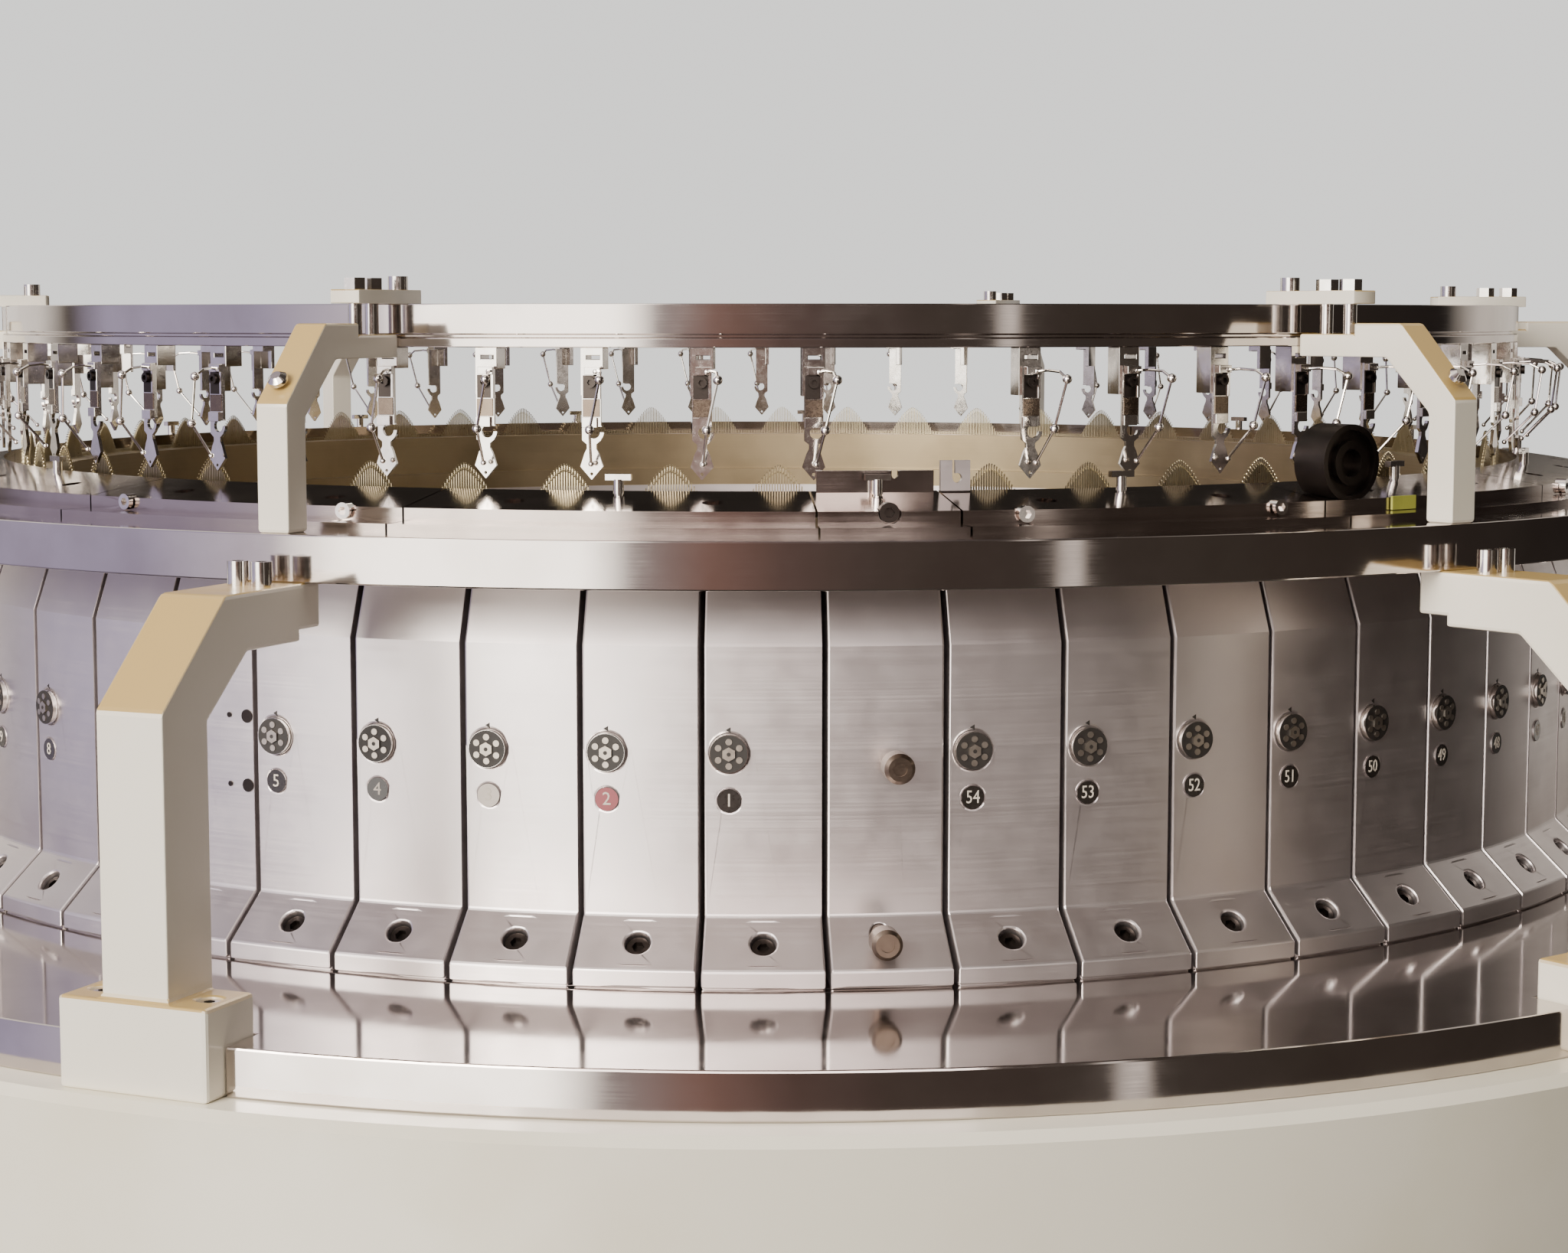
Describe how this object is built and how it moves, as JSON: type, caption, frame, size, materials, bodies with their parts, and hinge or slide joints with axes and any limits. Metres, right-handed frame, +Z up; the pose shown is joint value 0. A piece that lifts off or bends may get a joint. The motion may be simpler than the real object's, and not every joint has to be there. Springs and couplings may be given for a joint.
{
  "type": "industrial knitting machine",
  "caption": "Open-top circular knitting machine: needle cylinder in a ring of numbered cam boxes, sinker caps, a hung ring of yarn feeders, round bed on legs, take-down below.",
  "frame": {"origin": "on the floor, under the needle cylinder's axis", "axes": "+Z up along the cylinder's axis, -Y towards the door side that the operator faces, +X to the right"},
  "size_m": [1.2398, 1.24, 1.1951],
  "materials": {
    "polished_steel": "polished and ground",
    "cam_steel": "fine ground, satin",
    "chrome": "bright plated",
    "cream_paint": "cream enamel",
    "dark_steel": "blackened",
    "grey_paint": "grey enamel",
    "badge_black": "gloss enamel",
    "rubber_cover": "ribbed",
    "bronze": "turned",
    "cast_grey": "machined"
  },
  "bodies": {
    "bed_frame": {"bed_plate": "polished_steel", "bed_casting": "cream_paint", "bed_wall": "cream_paint", "bed_floor": "cream_paint", "leg_front": "cream_paint", "leg_right": "cream_paint", "leg_left": "cream_paint", "levelling_feet": "cast_grey", "base_spider": "cream_paint", "lower_brackets": "cream_paint", "bracket_screws": "chrome", "carrier_ring": "polished_steel", "cam_boxes": "cam_steel", "cam_box_screws": "dark_steel", "feed_badges": "badge_black", "stitch_dials": "chrome", "sinker_caps": "polished_steel", "cap_screws": "chrome", "cap_knobs": "chrome", "door_clip": "cam_steel", "needle_sensor": "dark_steel", "upper_brackets": "cream_paint", "ring_clamps": "cream_paint", "clamp_studs": "chrome", "feeder_ring": "polished_steel", "feeder_hangers": "chrome", "feeder_guides": "chrome", "feeder_screws": "dark_steel", "bearing_race": "cast_grey", "bearing_balls": "chrome", "drive_bush": "bronze"},
    "cylinder": {"needle_cylinder": "cast_grey", "trick_ring": "cast_grey", "needles": "chrome", "sinker_ring": "cast_grey", "sinkers": "chrome", "ring_gear": "cast_grey", "takedown_ring": "grey_paint", "takedown_frame": "grey_paint"},
    "draw_roller_front": {"draw_roller_front": "rubber_cover"},
    "draw_roller_rear": {"draw_roller_rear": "rubber_cover"},
    "cloth_roller": {"cloth_roller": "polished_steel"},
    "drive_shaft": {"drive_shaft": "cast_grey"},
    "door": {"door_box": "cam_steel", "door_knobs": "cam_steel"},
    "cap_door": {"cap_door": "polished_steel", "cap_door_bolt": "dark_steel"},
    "cap_knob_left": {"cap_knob_left": "chrome"},
    "cap_knob_door": {"cap_knob_door": "chrome"},
    "cap_knob_right": {"cap_knob_right": "chrome"},
    "dial_1": {"dial_1": "chrome"},
    "dial_2": {"dial_2": "chrome"},
    "dial_3": {"dial_3": "chrome"},
    "dial_4": {"dial_4": "chrome"},
    "dial_5": {"dial_5": "chrome"},
    "dial_50": {"dial_50": "chrome"},
    "dial_51": {"dial_51": "chrome"},
    "dial_52": {"dial_52": "chrome"},
    "dial_53": {"dial_53": "chrome"},
    "dial_54": {"dial_54": "chrome"}
  },
  "joints": [
    {"name": "cylinder_spin", "type": "hinge", "parent": "bed_frame", "child": "cylinder", "pos_m": [0, 0, 0.9], "axis": [0, 0, 1], "continuous": true},
    {"name": "drive_spin", "type": "hinge", "parent": "bed_frame", "child": "drive_shaft", "pos_m": [0, 0.48, 0.813], "axis": [0, 0, 1], "continuous": true},
    {"name": "draw_front_spin", "type": "hinge", "parent": "cylinder", "child": "draw_roller_front", "pos_m": [0, -0.0303, 0.503], "axis": [1, 0, 0], "continuous": true},
    {"name": "draw_rear_spin", "type": "hinge", "parent": "cylinder", "child": "draw_roller_rear", "pos_m": [0, 0.0303, 0.503], "axis": [1, 0, 0], "continuous": true},
    {"name": "cloth_spin", "type": "hinge", "parent": "cylinder", "child": "cloth_roller", "pos_m": [0, 0, 0.373], "axis": [1, 0, 0], "continuous": true},
    {"name": "door_slide", "type": "slide", "parent": "bed_frame", "child": "door", "axis": [0.1167, -0.9932, 0], "range_m": [0, 0.06]},
    {"name": "cap_door_slide", "type": "slide", "parent": "bed_frame", "child": "cap_door", "axis": [0.1167, -0.9932, 0], "range_m": [0, 0.03]},
    {"name": "cap_knob_left_turn", "type": "hinge", "parent": "bed_frame", "child": "cap_knob_left", "pos_m": [-0.06005, -0.42124, 1.1052], "axis": [0, 0, 1], "range_deg": [0, 90]},
    {"name": "cap_knob_door_turn", "type": "hinge", "parent": "cap_door", "child": "cap_knob_door", "pos_m": [0.04964, -0.42259, 1.1052], "axis": [0, 0, 1], "range_deg": [0, 90]},
    {"name": "cap_knob_right_turn", "type": "hinge", "parent": "bed_frame", "child": "cap_knob_right", "pos_m": [0.15603, -0.39586, 1.1052], "axis": [0, 0, 1], "range_deg": [0, 90]},
    {"name": "dial_1_turn", "type": "hinge", "parent": "bed_frame", "child": "dial_1", "pos_m": [-0.01308, -0.45081, 0.9962], "axis": [-0.029, -0.9996, 0], "range_deg": [-90, 90]},
    {"name": "dial_2_turn", "type": "hinge", "parent": "bed_frame", "child": "dial_2", "pos_m": [-0.06438, -0.44638, 0.9962], "axis": [-0.1428, -0.9898, 0], "range_deg": [-90, 90]},
    {"name": "dial_3_turn", "type": "hinge", "parent": "bed_frame", "child": "dial_3", "pos_m": [-0.11485, -0.43613, 0.9962], "axis": [-0.2547, -0.967, 0], "range_deg": [-90, 90]},
    {"name": "dial_4_turn", "type": "hinge", "parent": "bed_frame", "child": "dial_4", "pos_m": [-0.16381, -0.4202, 0.9962], "axis": [-0.3632, -0.9317, 0], "range_deg": [-90, 90]},
    {"name": "dial_5_turn", "type": "hinge", "parent": "bed_frame", "child": "dial_5", "pos_m": [-0.21065, -0.39879, 0.9962], "axis": [-0.4671, -0.8842, 0], "range_deg": [-90, 90]},
    {"name": "dial_50_turn", "type": "hinge", "parent": "bed_frame", "child": "dial_50", "pos_m": [0.27524, -0.35727, 0.9962], "axis": [0.6103, -0.7922, 0], "range_deg": [-90, 90]},
    {"name": "dial_51_turn", "type": "hinge", "parent": "bed_frame", "child": "dial_51", "pos_m": [0.23272, -0.38632, 0.9962], "axis": [0.516, -0.8566, 0], "range_deg": [-90, 90]},
    {"name": "dial_52_turn", "type": "hinge", "parent": "bed_frame", "child": "dial_52", "pos_m": [0.18717, -0.41033, 0.9962], "axis": [0.415, -0.9098, 0], "range_deg": [-90, 90]},
    {"name": "dial_53_turn", "type": "hinge", "parent": "bed_frame", "child": "dial_53", "pos_m": [0.13917, -0.42899, 0.9962], "axis": [0.3086, -0.9512, 0], "range_deg": [-90, 90]},
    {"name": "dial_54_turn", "type": "hinge", "parent": "bed_frame", "child": "dial_54", "pos_m": [0.08936, -0.44206, 0.9962], "axis": [0.1981, -0.9802, 0], "range_deg": [-90, 90]}
  ],
  "couplings": [
    {"joint": "drive_spin", "follows": "cylinder_spin", "ratio": -9},
    {"joint": "draw_front_spin", "follows": "cylinder_spin", "ratio": 0.15},
    {"joint": "draw_rear_spin", "follows": "cylinder_spin", "ratio": -0.15},
    {"joint": "cloth_spin", "follows": "cylinder_spin", "ratio": 0.18}
  ]
}
